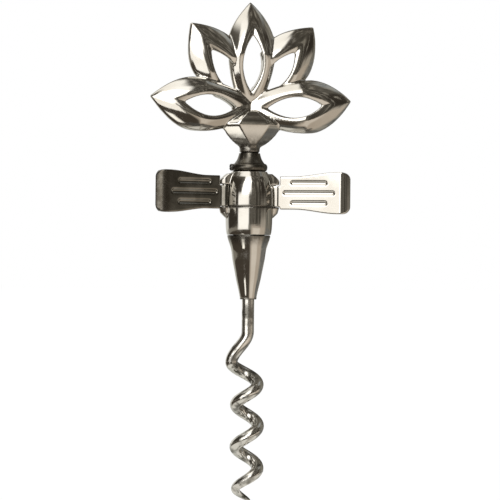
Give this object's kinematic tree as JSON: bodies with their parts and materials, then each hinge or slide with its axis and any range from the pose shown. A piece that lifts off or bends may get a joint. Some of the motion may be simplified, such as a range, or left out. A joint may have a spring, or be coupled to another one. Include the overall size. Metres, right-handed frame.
{
  "type": "corkscrew",
  "caption": "Direct-pull corkscrew with an openwork lotus-flower grip, a tapered barrel with folding finger wings and a wire worm.",
  "frame": {"origin": "on the worm's axis, at the height of the worm's tip", "axes": "+Z along the worm's axis, up to the flower; +X along the flower's width; the flower's rounded face looks towards -Y"},
  "size_m": [0.0576, 0.0157, 0.1391],
  "materials": {
    "polished_nickel": "polished",
    "bright_steel": "drawn bright"
  },
  "bodies": {
    "body": {"flower_handle": "polished_nickel", "handle_screw": "bright_steel", "neck_ferrule": "polished_nickel", "barrel_upper": "polished_nickel", "barrel_lower": "polished_nickel", "left_hinge_pin": "bright_steel", "right_hinge_pin": "bright_steel", "shank_washer": "bright_steel", "shank_nut": "bright_steel", "nose_cone": "polished_nickel", "worm": "bright_steel"},
    "left_wing": {"left_wing": "polished_nickel"},
    "right_wing": {"right_wing": "polished_nickel"}
  },
  "joints": [
    {"name": "left_wing_swing", "type": "hinge", "parent": "body", "child": "left_wing", "pos_m": [-0.0069, 0, 0.086], "axis": [0, 0, -1], "range_deg": [-62.5, 97.5]},
    {"name": "right_wing_swing", "type": "hinge", "parent": "body", "child": "right_wing", "pos_m": [0.0069, 0, 0.086], "axis": [0, 0, 1], "range_deg": [-54, 106]}
  ]
}
